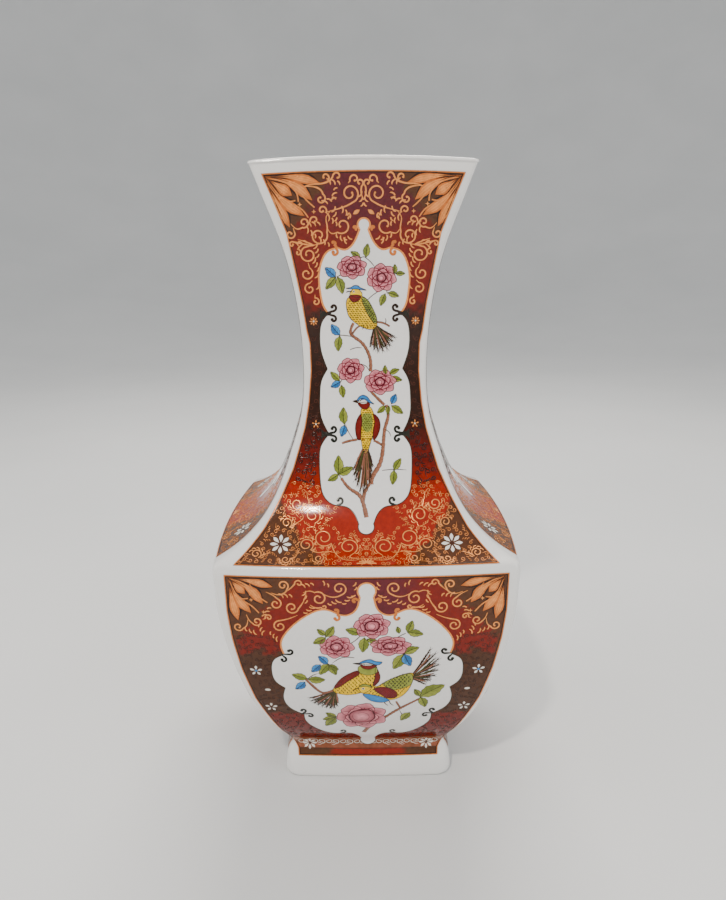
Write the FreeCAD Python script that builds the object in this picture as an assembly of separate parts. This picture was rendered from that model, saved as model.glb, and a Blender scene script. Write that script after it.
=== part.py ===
import FreeCAD, Part
import math
import os

# Square-plan porcelain vase. Millimetres, +Z up, the origin is the centre of
# the foot on the table and the front face looks along -Y.

Vector = FreeCAD.Vector

# ---------------------------------------------------------------- sizes
HEIGHT = 352.0          # table to lip
SEAM_Z = 148.5          # widest point, where the neck section is luted to the belly
FOOT_Z = 14.0           # where the belly section is luted to the foot ring
LIP_ROUND = 1.5         # soft edge of the mouth
FLOOR_HALF = 40.5       # half width of the well that takes the base plate
FLOOR_THICK = 6.0       # base plate
LUTING_GAP = 0.05       # clearance of the base plate inside the belly wall
FILM_GAP = 0.05         # a fired transfer lies this far above the body
FILM_THICK = 0.30       # thickness of a fired transfer

# Each station is (half width across the flats, height).
NECK_OUTER = [
    (56.6, 352.0), (50.0, 333.5), (43.2, 314.5), (36.6, 285.0), (33.7, 246.0), (36.2, 219.0),
    (41.0, 203.0), (47.6, 184.0), (58.5, 166.0), (71.0, 155.6), (77.6, 152.2),
]
RIDGE_NOSE = [(77.6, 152.2), (79.6, 150.9), (80.4, SEAM_Z)]
NECK_INNER = [
    (52.8, 352.0), (46.2, 333.5), (39.3, 314.5), (32.7, 285.0), (29.7, 246.0), (32.0, 218.0),
    (36.8, 201.0), (43.6, 182.0), (54.4, 163.2), (66.0, 152.8), (72.6, SEAM_Z),
]
BELLY_OUTER = [
    (80.4, SEAM_Z), (80.3, 141.0), (79.8, 128.0), (76.8, 105.0), (70.8, 78.0), (63.0, 54.0),
    (54.5, 36.0), (48.4, 26.0), (46.9, 21.5), (47.8, 17.5), (48.8, FOOT_Z),
]
BELLY_INNER = [
    (72.6, SEAM_Z), (75.2, 141.0), (75.8, 128.0), (72.9, 106.0), (67.0, 80.5), (59.2, 57.5),
    (50.8, 40.0), (44.0, 29.0), (41.2, 22.0), (FLOOR_HALF, FOOT_Z),
]
FOOT_OUTER = [(48.8, FOOT_Z), (49.8, 8.0), (50.1, 4.0), (49.7, 1.4), (48.6, 0.0)]
FOOT_INNER = [(37.0, FOOT_Z), (39.0, 9.5), (41.4, 4.0), (42.6, 0.0)]

# How far the middle of a side bulges beyond its corners, by height.
BULGE = [(0.0, 1.2), (22.0, 1.6), (80.0, 4.2), (150.0, 5.2), (200.0, 2.0), (250.0, 1.0), (352.0, 1.0)]
# Radius of the four upright corners, by height.
CORNER = [(0.0, 9.0), (20.0, 8.0), (45.0, 6.0), (100.0, 4.5), (150.0, 3.5), (200.0, 3.0), (352.0, 2.5)]

# Half width of the printed panels, by height.
NECK_PANEL = [
    (50.2, 346.0), (45.4, 333.8), (39.9, 319.0), (36.2, 300.0), (33.2, 282.0), (31.0, 265.0),
    (29.8, 247.0), (31.4, 229.0), (33.8, 215.5), (37.0, 204.3), (46.6, 179.7), (55.2, 165.0), (68.6, 152.6),
]
BELLY_PANEL = [
    (74.4, 146.7), (74.2, 126.0), (72.6, 108.0), (69.3, 88.5), (63.4, 65.0), (55.8, 46.6),
    (47.2, 28.0), (43.4, 21.5), (42.2, 15.2),
]

SIDES = [("front", 0), ("right", 90), ("back", 180), ("left", 270)]


# ---------------------------------------------------------------- helpers
def by_height(table, z):
    """Straight interpolation in a (height, value) table."""
    if z <= table[0][0]:
        return table[0][1]
    for (z0, v0), (z1, v1) in zip(table, table[1:]):
        if z <= z1:
            return v0 + (v1 - v0) * (z - z0) / (z1 - z0)
    return table[-1][1]


def profile_curve(stations):
    """A smooth curve through the stations, drawn in the XZ plane."""
    curve = Part.BSplineCurve()
    curve.interpolate([Vector(a, 0, z) for a, z in stations])
    return curve


def profile_points(stations, count, offset):
    """Points along the profile, moved outwards along its normal by offset."""
    curve = profile_curve(stations)
    first = curve.FirstParameter
    last = curve.LastParameter
    points = []
    for i in range(count):
        u = first + (last - first) * i / (count - 1)
        p = curve.value(u)
        t = curve.tangent(u)[0]
        points.append((p.x - t.z * offset, p.z + t.x * offset))
    return points


def turned(shape, degrees):
    copy = shape.copy()
    copy.rotate(Vector(0, 0, 0), Vector(0, 0, 1), degrees)
    return copy


def outline(half, bulge, radius, z):
    """Closed square outline with bowed sides and round corners at height z."""
    deep = (half * half - bulge * bulge) / (2.0 * bulge)
    centre = deep - half
    big = deep + bulge
    c = (-centre + math.sqrt(2.0 * (big - radius) ** 2 - centre ** 2)) / 2.0
    reach = big / (big - radius)
    tx = c * reach
    ty = centre - (c + centre) * reach
    tip = c + radius / math.sqrt(2.0)
    side = Part.Arc(Vector(-tx, ty, z), Vector(0, -half - bulge, z), Vector(tx, ty, z)).toShape()
    corner = Part.Arc(Vector(tx, ty, z), Vector(tip, -tip, z), Vector(-ty, -tx, z)).toShape()
    edges = []
    for k in range(4):
        edges.append(turned(side, 90 * k))
        edges.append(turned(corner, 90 * k))
    return Part.Wire(edges)


def section(half, z, offset):
    radius = max(by_height(CORNER, z) + offset, 1.2)
    return outline(half, by_height(BULGE, z), radius, z)


def body_of_sections(stations, count, offset=0.0):
    """Solid with square sections that follow the profile."""
    points = profile_points(stations, count, offset)
    wires = [section(half, z, offset) for half, z in points]
    return Part.makeLoft(wires, True, False)


def panel_slab(stations):
    """Slab in front of the vase with a panel's outline, reaching back to y = 0."""
    right = Part.BSplineCurve()
    right.interpolate([Vector(half, 0, z) for half, z in stations])
    left = Part.BSplineCurve()
    left.interpolate([Vector(-half, 0, z) for half, z in stations])
    top_half, top_z = stations[0]
    low_half, low_z = stations[-1]
    top = Part.makeLine(Vector(-top_half, 0, top_z), Vector(top_half, 0, top_z))
    low = Part.makeLine(Vector(low_half, 0, low_z), Vector(-low_half, 0, low_z))
    face = Part.Face(Part.Wire([top, right.toShape(), low, left.toShape()]))
    return face.extrude(Vector(0, -140, 0))


def round_lip(shape):
    """Soften the inner and outer edges of the mouth."""
    edges = [e for e in shape.Edges if all(abs(v.Z - HEIGHT) < 1e-3 for v in e.Vertexes)]
    edges = [e for e in edges if e.BoundBox.ZLength < 1e-3]
    return shape.makeFillet(LIP_ROUND, edges)


# ---------------------------------------------------------------- pieces
def neck_section():
    outer = body_of_sections(NECK_OUTER, 21).fuse(body_of_sections(RIDGE_NOSE, 5))
    inner = body_of_sections(NECK_INNER, 17)
    return round_lip(outer.cut(inner).removeSplitter())


def belly_section():
    outer = body_of_sections(BELLY_OUTER, 17)
    inner = body_of_sections(BELLY_INNER, 15)
    return outer.cut(inner)


def foot_ring():
    outer = body_of_sections(FOOT_OUTER, 9)
    inner = body_of_sections(FOOT_INNER, 5)
    return outer.cut(inner)


def base_plate():
    """Floor of the vase: sits on the foot ring, inside the belly wall."""
    half = FLOOR_HALF - LUTING_GAP
    low = outline(half, 1.3, 8.0, FOOT_Z)
    high = outline(half, 1.3, 8.0, FOOT_Z + FLOOR_THICK)
    return Part.makeLoft([low, high], True, True)


def transfer(outer_stations, panel, count):
    """Thin fired film that covers one panel of the front face."""
    near = body_of_sections(outer_stations, count, FILM_GAP)
    far = body_of_sections(outer_stations, count, FILM_GAP + FILM_THICK)
    return far.common(panel_slab(panel)).cut(near)


def save(name, shape):
    shape.exportStep("parts/" + name + ".step")
    print(name, len(shape.Solids), shape.isValid(), round(shape.Volume / 1000.0, 2), "cm3")


def build():
    os.makedirs("parts", exist_ok=True)
    save("neck_section", neck_section())
    save("belly_section", belly_section())
    save("base_plate", base_plate())
    save("foot_ring", foot_ring())
    neck_film = transfer(NECK_OUTER, NECK_PANEL, 21)
    belly_film = transfer(BELLY_OUTER, BELLY_PANEL, 17)
    for side, degrees in SIDES:
        save("neck_transfer_" + side, turned(neck_film, degrees))
        save("belly_transfer_" + side, turned(belly_film, degrees))


build()
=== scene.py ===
import math
import random

import bpy
import numpy as np
from mathutils import Matrix, Vector
from mathutils.geometry import delaunay_2d_cdt


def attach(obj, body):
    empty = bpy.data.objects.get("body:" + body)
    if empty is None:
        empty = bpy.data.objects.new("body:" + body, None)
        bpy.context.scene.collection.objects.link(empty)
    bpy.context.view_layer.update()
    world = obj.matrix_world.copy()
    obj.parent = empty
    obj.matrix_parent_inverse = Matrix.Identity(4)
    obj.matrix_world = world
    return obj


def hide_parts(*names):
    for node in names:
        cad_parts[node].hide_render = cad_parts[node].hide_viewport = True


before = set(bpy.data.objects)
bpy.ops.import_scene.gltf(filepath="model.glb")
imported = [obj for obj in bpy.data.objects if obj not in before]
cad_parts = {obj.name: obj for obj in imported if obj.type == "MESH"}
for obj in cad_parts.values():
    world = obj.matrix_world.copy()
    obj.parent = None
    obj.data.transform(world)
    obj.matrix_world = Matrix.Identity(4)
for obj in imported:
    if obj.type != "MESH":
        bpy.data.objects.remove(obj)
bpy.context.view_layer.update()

# Looks of the square porcelain vase. Shapes are worked out in millimetres and
# turned into metres when a mesh is made. The wall of one side is unrolled into
# a flat sheet: x runs to the right, y runs up the wall, and y = 0 is the ridge.

MM = 0.001
rng = random.Random(7)

# ------------------------------------------------------------------ the body
SEAM_Z = 148.5
FOOT_Z = 14.0
RIDGE_Z = 150.9
TOP_Z = 352.0
LIP_ROUND = 1.5
CROWN = 1.9
CROWN_FROM = 285.0
FLOOR_TOP = 20.0
FLOOR_HALF = 40.4
SIDE_STEPS = 44
CORNER_STEPS = 9

# Stations of the profile: (half width across the flats, height).
NECK_OUTER = [
    (56.6, 352), (50, 333.5), (43.2, 314.5), (36.6, 285), (33.7, 246), (36.2, 219),
    (41, 203), (47.6, 184), (58.5, 166), (71, 155.6), (77.6, 152.2), (79.6, RIDGE_Z),
    (80.4, SEAM_Z),
]
BELLY_OUTER = [
    (80.3, 141), (79.8, 128), (76.8, 105), (70.8, 78), (63, 54),
    (54.5, 36), (48.4, 26), (46.9, 21.5), (47.8, 17.5), (48.8, FOOT_Z),
]
FOOT_OUTER = [(49.8, 8), (50.1, 4), (49.7, 1.4), (48.6, 0)]
NECK_INNER = [
    (52.8, 352), (46.2, 333.5), (39.3, 314.5), (32.7, 285), (29.7, 246), (32, 218),
    (36.8, 201), (43.6, 182), (54.4, 163.2), (66, 152.8), (72.6, SEAM_Z),
]
BELLY_INNER = [
    (72.6, SEAM_Z), (75.2, 141), (75.8, 128), (72.9, 106), (67, 80.5), (59.2, 57.5),
    (50.8, 40), (44, 29), (41.2, 22), (40.5, FOOT_Z),
]
FOOT_INNER = [(37, FOOT_Z), (39, 9.5), (41.4, 4), (42.6, 0)]

# Outward bulge of the middle of a side, and radius of the upright corners, by height.
BULGE = [(0, 1.2), (22, 1.6), (80, 4.2), (150, 5.2), (200, 2), (250, 1), (352, 1)]
CORNER = [(0, 9), (20, 8), (45, 6), (100, 4.5), (150, 3.5), (200, 3), (352, 2.5)]


def lookup(table, key):
    """Straight interpolation in a rising (key, value) table."""
    keys, values = zip(*table)
    return np.interp(key, keys, values)


def smooth_path(points, count):
    """A natural cubic spline through the points, sampled evenly along its chords."""
    p = np.array(points, float)
    n = len(p)
    step = np.maximum(np.linalg.norm(np.diff(p, axis=0), axis=1), 1e-6)
    knots = np.concatenate([[0], np.cumsum(step)])
    matrix = np.eye(n)
    rhs = np.zeros((n, p.shape[1]))
    for i in range(1, n - 1):
        matrix[i, i - 1] = step[i - 1]
        matrix[i, i] = 2.0 * (step[i - 1] + step[i])
        matrix[i, i + 1] = step[i]
        rhs[i] = 6.0 * ((p[i + 1] - p[i]) / step[i] - (p[i] - p[i - 1]) / step[i - 1])
    curve = np.linalg.solve(matrix, rhs)
    t = np.linspace(0, knots[-1], count)
    k = np.clip(np.searchsorted(knots, t, side="right") - 1, 0, n - 2)
    h = step[k][:, None]
    a = (knots[k + 1] - t)[:, None] / h
    b = 1.0 - a
    bend = ((a ** 3 - a) * curve[k] + (b ** 3 - b) * curve[k + 1]) * h * h / 6.0
    return a * p[k] + b * p[k + 1] + bend


def side_numbers(half, bulge, radius):
    """Circle of a bowed side, circle of a corner, and where they meet."""
    deep = (half * half - bulge * bulge) / (2.0 * bulge)
    centre = deep - half
    big = deep + bulge
    c = (-centre + np.sqrt(2.0 * (big - radius) ** 2 - centre ** 2)) / 2.0
    return centre, big, c, c * big / (big - radius)


def ring(half, z, radius):
    """One closed outline of the wall at height z."""
    centre, big, c, tangent_x = side_numbers(half, lookup(BULGE, z), radius)
    xs = np.linspace(-tangent_x, tangent_x, SIDE_STEPS, endpoint=False)
    side = np.stack([xs, centre - np.sqrt(big ** 2 - xs ** 2)], axis=1)
    start = math.atan2(-(c + centre), c)
    turn = np.linspace(start, -math.pi / 2 - start, CORNER_STEPS, endpoint=False)
    corner = np.stack([c + radius * np.cos(turn), -c + radius * np.sin(turn)], axis=1)
    quarter = np.concatenate([side, corner])
    points = []
    for k in range(4):
        points.append(quarter @ quarter_turn(k))
    flat = np.concatenate(points)
    return np.column_stack([flat, np.full(len(flat), z)])


def quarter_turn(k):
    """Matrix that turns row vectors (x, y) by k quarter turns."""
    angle = math.pi / 2 * k
    return np.array([[math.cos(angle), math.sin(angle)], [-math.sin(angle), math.cos(angle)]])


def wall_ring(half, z, shrink=0):
    return ring(half, z, max(float(lookup(CORNER, z)) - shrink, 1))


def lip_rings():
    """Round outer edge, flat top and round inner edge of the mouth."""
    outer = NECK_OUTER[0][0]
    inner = NECK_INNER[0][0]
    radius = float(lookup(CORNER, TOP_Z))
    turns = [math.pi / 2 * i / 8 for i in range(9)]
    rings = []
    for a in turns:
        half = outer - LIP_ROUND * (1 - math.cos(a))
        rings.append(ring(half, TOP_Z - LIP_ROUND * (1 - math.sin(a)), radius))
    for a in turns:
        half = inner + LIP_ROUND * (1 - math.sin(a))
        rings.append(ring(half, TOP_Z - LIP_ROUND * (1 - math.cos(a)), radius))
    return rings


def crowned(points):
    """The lip stands a little higher in the middle of each side than at the corners."""
    points = np.array(points, float)
    flat = np.abs(points[:, :2])
    share = flat.min(axis=1) / np.maximum(flat.max(axis=1), 1)
    rise = np.clip((points[:, 2] - CROWN_FROM) / (TOP_Z - CROWN_FROM), 0, 1) ** 2
    points[:, 2] += rise * (CROWN * (1.0 - share ** 2) + 0.4)
    return points


def add_object(name, mesh, material):
    """Smooth object in one material, linked to the scene."""
    mesh.shade_smooth()
    mesh.materials.append(material)
    piece = bpy.data.objects.new(name, mesh)
    bpy.context.collection.objects.link(piece)
    return piece


def make_mesh(name, points, faces, material):
    """Mesh object from points in millimetres, with the crowned lip worked in."""
    mesh = bpy.data.meshes.new(name)
    mesh.from_pydata((crowned(points) * MM).tolist(), [], faces)
    return add_object(name, mesh, material)


def skin(name, groups, material):
    """Mesh through groups of rings. Groups don't share points, so edges between them stay crisp."""
    points = []
    faces = []
    start = 0
    for rings in groups:
        count = len(rings[0])
        for r in range(len(rings) - 1):
            for i in range(count):
                j = (i + 1) % count
                low = start + r * count
                faces.append((low + i, low + j, low + count + j, low + count + i))
        points += rings
        start += count * len(rings)
    return make_mesh(name, np.concatenate(points), faces, material)


def cap(half_ring):
    """Rings that close an outline towards its middle."""
    middle = half_ring.mean(axis=0)
    return [middle + (half_ring - middle) * s for s in (1, 0.75, 0.5, 0.25, 0.001)]


# Unrolled wall: the distance up the wall from the ridge, with half width and height.
WALL = smooth_path(NECK_OUTER + BELLY_OUTER + FOOT_OUTER, 2400)
WALL_UP = -np.concatenate([[0], np.cumsum(np.linalg.norm(np.diff(WALL, axis=0), axis=1))])
WALL_UP -= WALL_UP[np.argmin(np.abs(WALL[:, 1] - RIDGE_Z))]


def wall_at(up):
    """Half width and height of the wall at a distance up from the ridge."""
    half = np.interp(up, WALL_UP[::-1], WALL[::-1, 0])
    return half, np.interp(up, WALL_UP[::-1], WALL[::-1, 1])


def on_front(x, up):
    """Point of the front wall under sheet position (x, up)."""
    half, z = wall_at(up)
    radius = lookup(CORNER, z)
    centre, big, c, tangent_x = side_numbers(half, lookup(BULGE, z), radius)
    width = np.abs(x)
    side = centre - np.sqrt(np.maximum(big ** 2 - x ** 2, 0))
    corner = -c - np.sqrt(np.maximum(radius ** 2 - (width - c) ** 2, 0))
    return np.stack([x, np.where(width <= tangent_x, side, corner), z], axis=1)


def lay(x, up, lift):
    """Sheet positions laid on the front wall, standing off it by lift."""
    small = 0.05
    p = on_front(x, up)
    across = on_front(x + small, up) - on_front(x - small, up)
    along = on_front(x, up + small) - on_front(x, up - small)
    normal = np.cross(across, along)
    normal /= np.linalg.norm(normal, axis=1)[:, None]
    return p + normal * np.asarray(lift)[:, None]


def outer_rings(low_z, high_z, step):
    """Rings of the outer wall between two heights, about step millimetres apart."""
    inside = [(half, z) for half, z in WALL if low_z < z < high_z]
    stride = max(1, int(step / (WALL_UP[0] - WALL_UP[1])))
    kept = inside[::stride]
    half_high, half_low = (float(np.interp(z, WALL[::-1, 1], WALL[::-1, 0])) for z in (high_z, low_z))
    return [wall_ring(half_high, high_z)] + [wall_ring(h, z) for h, z in kept] + [wall_ring(half_low, low_z)]


def make_body(porcelain, foot_porcelain):
    """The four ceramic pieces, replacing the CAD nodes of the same place."""
    neck_out = outer_rings(SEAM_Z, TOP_Z - LIP_ROUND, 1.2)[::-1]
    neck_in = [wall_ring(h, z, 1) for h, z in smooth_path(NECK_INNER, 90) if z < TOP_Z - LIP_ROUND - 0.4]
    mating = [neck_in[-1], neck_out[0]]
    neck = skin("neck_body", [neck_out[:-1] + lip_rings() + neck_in, mating], porcelain)
    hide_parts("neck_section")

    belly_out = outer_rings(FOOT_Z, SEAM_Z, 1.2)
    belly_in = [wall_ring(h, z, 1) for h, z in smooth_path(BELLY_INNER, 60)]
    belly = skin(
        "belly_body", [belly_out, belly_in[::-1], [belly_in[0], belly_out[0]], [belly_out[-1], belly_in[-1]]],
        porcelain,
    )
    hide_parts("belly_section")

    foot_out = outer_rings(0, FOOT_Z, 0.5)
    foot_in = [wall_ring(h, z, 1) for h, z in smooth_path(FOOT_INNER, 20)]
    foot = skin(
        "foot_body", [foot_out, [foot_out[-1], foot_in[-1]], foot_in[::-1], [foot_in[0], foot_out[0]]],
        foot_porcelain,
    )
    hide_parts("foot_ring")

    top = ring(FLOOR_HALF, FLOOR_TOP, 8)
    bottom = ring(FLOOR_HALF, FOOT_Z, 8)
    plate = skin("floor_body", [cap(top)[::-1], [top, bottom], cap(bottom)], porcelain)
    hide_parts("base_plate")
    slots = ((neck, "porcelain"), (belly, "porcelain"), (plate, "porcelain"), (foot, "foot_porcelain"))
    for piece, slot in slots:
        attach(piece, "root")


# ------------------------------------------------------------------ materials
# Pigments: darkest colour, lightest colour, roughness, metallic.
PIGMENTS = {
    "ground": ((0.10, 0.03, 0.015), (0.40, 0.035, 0.012), 0.09, 0),
    "reserve": ((0.82, 0.80, 0.775), (0.86, 0.84, 0.815), 0.09, 0),
    "gold": ((0.50, 0.11, 0.015), (0.90, 0.33, 0.085), 0.24, 0.30),
    # The next pigment is gold painted near-black: a painted dark reflection in the gilding of lower lines,
    # curls and wedges.
    "bronze": ((0.004, 0.012, 0.012), (0.05, 0.032, 0.016), 0.25, 0.2),
    "umber": ((0.014, 0.005, 0.002), (0.08, 0.022, 0.008), 0.2, 0),
    "white": ((0.66, 0.52, 0.38), (0.86, 0.82, 0.74), 0.18, 0),
    "pink": ((0.20, 0.005, 0.022), (0.78, 0.27, 0.31), 0.14, 0),
    "crimson": ((0.05, 0.001, 0.005), (0.20, 0.009, 0.025), 0.18, 0),
    "green": ((0.08, 0.12, 0.006), (0.31, 0.34, 0.05), 0.16, 0),
    "sap": ((0.018, 0.022, 0.004), (0.07, 0.07, 0.012), 0.2, 0),
    "blue": ((0.005, 0.06, 0.25), (0.05, 0.30, 0.68), 0.16, 0),
    "yellow": ((0.58, 0.28, 0), (0.98, 0.64, 0), 0.14, 0),
    "maroon": ((0.08, 0.003, 0.002), (0.20, 0.010, 0.004), 0.16, 0),
    "bark": ((0.07, 0.018, 0.008), (0.40, 0.16, 0.09), 0.2, 0),
    "sepia": ((0.008, 0.004, 0.002), (0.05, 0.02, 0.009), 0.22, 0),
}


def new_material(name):
    """A material with an empty tree but for its output and one shader."""
    material = bpy.data.materials.new(name)
    material.use_nodes = True
    tree = material.node_tree
    tree.nodes.clear()
    output = tree.nodes.new("ShaderNodeOutputMaterial")
    shader = tree.nodes.new("ShaderNodeBsdfPrincipled")
    tree.links.new(shader.outputs["BSDF"], output.inputs["Surface"])
    return material, tree, shader


def noise(tree, scale, detail=3):
    """A noise texture fixed to the object."""
    place = tree.nodes.new("ShaderNodeTexCoord")
    node = tree.nodes.new("ShaderNodeTexNoise")
    node.inputs["Scale"].default_value = scale
    node.inputs["Detail"].default_value = detail
    tree.links.new(place.outputs["Object"], node.inputs["Vector"])
    return node.outputs["Fac"]


def between(tree, factor, low, high):
    """Spread a 0.3 to 0.7 noise factor over a range of values."""
    node = tree.nodes.new("ShaderNodeMapRange")
    node.inputs["From Min"].default_value = 0.3
    node.inputs["From Max"].default_value = 0.7
    node.inputs["To Min"].default_value = low
    node.inputs["To Max"].default_value = high
    tree.links.new(factor, node.inputs["Value"])
    return node.outputs["Result"]


def clouds(tree, shader, low, high, scale, detail):
    """Base colour that drifts softly between two colours."""
    mix = tree.nodes.new("ShaderNodeMix")
    mix.data_type = "RGBA"
    mix.inputs[6].default_value = (*low, 1)
    mix.inputs[7].default_value = (*high, 1)
    tree.links.new(between(tree, noise(tree, scale, detail), 0, 1), mix.inputs[0])
    tree.links.new(mix.outputs[2], shader.inputs["Base Color"])


def relief(tree, shader, factor, strength, distance):
    """Fine unevenness of the surface that follows a noise factor."""
    bump = tree.nodes.new("ShaderNodeBump")
    bump.inputs["Strength"].default_value = strength
    bump.inputs["Distance"].default_value = distance
    tree.links.new(factor, bump.inputs["Height"])
    tree.links.new(bump.outputs["Normal"], shader.inputs["Normal"])


def fired_colour(name, roughness, metallic, grain):
    """Enamel or gold fired under the clear glaze: colour painted per point, broken up by fine noise."""
    material, tree, shader = new_material(name)
    paint = tree.nodes.new("ShaderNodeAttribute")
    paint.attribute_name = "paint"
    shade = tree.nodes.new("ShaderNodeHueSaturation")
    tree.links.new(paint.outputs["Color"], shade.inputs["Color"])
    tree.links.new(between(tree, noise(tree, 420), 1.0 - grain, 1.0 + grain), shade.inputs["Value"])
    tree.links.new(shade.outputs["Color"], shader.inputs["Base Color"])
    gloss = between(tree, noise(tree, 160), roughness * 0.8, roughness * 1.3)
    tree.links.new(gloss, shader.inputs["Roughness"])
    shader.inputs["Metallic"].default_value = metallic
    shader.inputs["Specular IOR Level"].default_value = 0.3
    relief(tree, shader, noise(tree, 900), 0.12, 0.0001)
    return material


def porcelain_glaze(name, cloudy, clear, roughness):
    """White porcelain under glaze, with faint clouds and a slight orange-peel ripple."""
    material, tree, shader = new_material(name)
    clouds(tree, shader, cloudy, clear, 14, 5)
    gloss = between(tree, noise(tree, 60), roughness * 0.7, roughness * 1.4)
    tree.links.new(gloss, shader.inputs["Roughness"])
    shader.inputs["IOR"].default_value = 1.52
    shader.inputs["Coat Weight"].default_value = 0.5
    shader.inputs["Coat Roughness"].default_value = 0.04
    relief(tree, shader, noise(tree, 55, 1), 0.05, 0.0006)
    return material


# ------------------------------------------------------------------ drawing kit
# How far each printed layer stands off the body.
GROUND_LIFT = 0.14
RESERVE_LIFT = 0.18
EDGE_LIFT = 0.2
THIN_LIFT = 0.21
LINE_LIFT = 0.22
LIMB_LIFT = 0.23
SPRAY_LIFT = 0.235
VINE_LIFT = 0.24
TAIL_LIFT = 0.25
LEAF_LIFT = 0.26
ROSE_LIFT = 0.27
BIRD_LIFT = 0.28
SPRAY_TOP = 0.29
EYE_LIFT = 0.41

# Line ends of full width, and the room that marks leave to the border of their panel.
FULL = (1.0, 1.0)
MARGIN = 1.5
# Spacing of points along lines, of rings in filled forms and of rows in the grounds.
LINE_STEP = 0.55
RING_STEP = 2.2
ROW_STEP = 1.1
GROUND_COLUMNS = 97
SCATTER_TRIES = 2600
# Factors that leave a half drawing in place or mirror it.
HALVES = (np.array([1, 1]), np.array([-1, 1]))


class Ink:
    """Everything printed on one panel in one pigment, as flat shapes on the sheet."""

    def __init__(self):
        self.points = []
        self.lifts = []
        self.colours = []
        self.faces = []
        self.count = 0

    def add(self, points, lift, colours, faces):
        n = len(points)
        self.points.append(np.asarray(points, float))
        self.lifts.append(np.broadcast_to(np.asarray(lift, float), (n,)))
        self.colours.append(np.broadcast_to(np.asarray(colours, float), (n, 3)))
        self.faces += [tuple(self.count + i for i in face) for face in faces]
        self.count += n


INKS = {}


def ink(panel, pigment):
    return INKS.setdefault((panel, pigment), Ink())


def tint(pigment, tone):
    """Colour of a pigment between its darkest (0) and lightest (1)."""
    dark, light = (np.array(c) for c in PIGMENTS[pigment][:2])
    tone = np.atleast_1d(np.asarray(tone, float))[:, None]
    return dark + (light - dark) * tone


def bend(points, steps=None):
    """Smooth open line through a few points."""
    length = sum(math.dist(a, b) for a, b in zip(points, points[1:]))
    return smooth_path(points, steps or max(6, int(length / LINE_STEP)))


def closed(points):
    """Smooth closed line through a few points."""
    p = np.array(points, float)
    t = np.linspace(0, 1, 6, endpoint=False)[:, None]
    parts = []
    for i in range(len(p)):
        a, b, c, d = p[i - 1], p[i], p[(i + 1) % len(p)], p[(i + 2) % len(p)]
        parts.append(b + 0.5 * (c - a) * t + (a - 2.5 * b + 2 * c - 0.5 * d) * t ** 2
                     + (-0.5 * a + 1.5 * b - 1.5 * c + 0.5 * d) * t ** 3)
    return np.concatenate(parts)


def swirl(x, y, r, start, sweep, tight=0.28):
    """Spiral that starts at radius r and angle start, and winds in over sweep degrees."""
    steps = max(10, int(abs(sweep) * r / 26))
    t = np.linspace(0, 1, steps)
    radius = r * (1.0 - (1.0 - tight) * t ** 1.15)
    angle = np.radians(start + sweep * t)
    return np.stack([x + radius * np.cos(angle), y + radius * np.sin(angle)], axis=1)


def disc(count):
    """Points of a unit circle."""
    turn = np.linspace(0, 2 * math.pi, count, endpoint=False)
    return np.stack([np.cos(turn), np.sin(turn)], axis=1)


def sideways(path):
    """Unit vectors that point to the left of a line, one for each of its points."""
    run = np.gradient(path, axis=0)
    run /= np.maximum(np.linalg.norm(run, axis=1), 1e-9)[:, None]
    return np.stack([-run[:, 1], run[:, 0]], axis=1)


def stroke(panel, pigment, path, width, lift, ends=(0.5, 0.5), tone=0.6, dome=0.06):
    """A drawn line: a low rounded bead that narrows at its ends."""
    path = np.asarray(path, float)
    if len(path) < 2:
        return
    left = sideways(path)
    t = np.linspace(0, 1, len(path))
    wide = width / 2 * np.interp(t, [0, 0.2, 0.75, 1], [ends[0], 1, 1, ends[1]])
    points = np.concatenate([path + left * wide[:, None], path, path - left * wide[:, None]])
    n = len(path)
    lifts = np.concatenate([np.full(n, lift), np.full(n, lift + dome), np.full(n, lift)])
    faces = []
    for row in (0, n):
        for i in range(n - 1):
            faces.append((row + i, row + n + i, row + n + i + 1, row + i + 1))
    ink(panel, pigment).add(points, lifts, tint(pigment, tone), faces)


def loop_line(panel, pigment, outline, width, lift, tone):
    """A closed thin line round a shape."""
    path = np.concatenate([outline, outline[:2]])
    stroke(panel, pigment, path, width, lift, FULL, tone, 0.02)


def blob(panel, pigment, outline, lift, inner_tone, outer_tone, dome=0, middle=None):
    """A filled star-shaped form whose tone runs from its middle to its edge."""
    outline = np.asarray(outline, float)
    centre = outline.mean(axis=0) if middle is None else np.asarray(middle, float)
    n = len(outline)
    count = max(2, math.ceil(np.max(np.linalg.norm(outline - centre, axis=1)) / RING_STEP))
    shares = [(k + 1) / count for k in range(count)]
    points = [centre[None, :]]
    tones = [np.array([inner_tone])]
    lifts = [np.array([lift + dome])]
    for share in shares:
        points.append(centre + (outline - centre) * share)
        tones.append(np.full(n, inner_tone + (outer_tone - inner_tone) * share))
        lifts.append(np.full(n, lift + dome * (1.0 - share ** 2)))
    faces = [(0, 1 + i, 1 + (i + 1) % n) for i in range(n)]
    for k in range(len(shares) - 1):
        a = 1 + k * n
        b = a + n
        faces += [(a + i, b + i, b + (i + 1) % n, a + (i + 1) % n) for i in range(n)]
    colours = tint(pigment, np.concatenate(tones))
    ink(panel, pigment).add(np.concatenate(points), np.concatenate(lifts), colours, faces)


def inside(points, outline):
    """Which points lie inside a closed outline."""
    x, y = points[:, 0], points[:, 1]
    hit = np.zeros(len(points), bool)
    for (x0, y0), (x1, y1) in zip(outline, np.roll(outline, -1, axis=0)):
        if y0 != y1:
            hit ^= ((y0 > y) != (y1 > y)) & (x < (x1 - x0) * (y - y0) / (y1 - y0) + x0)
    return hit


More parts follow.
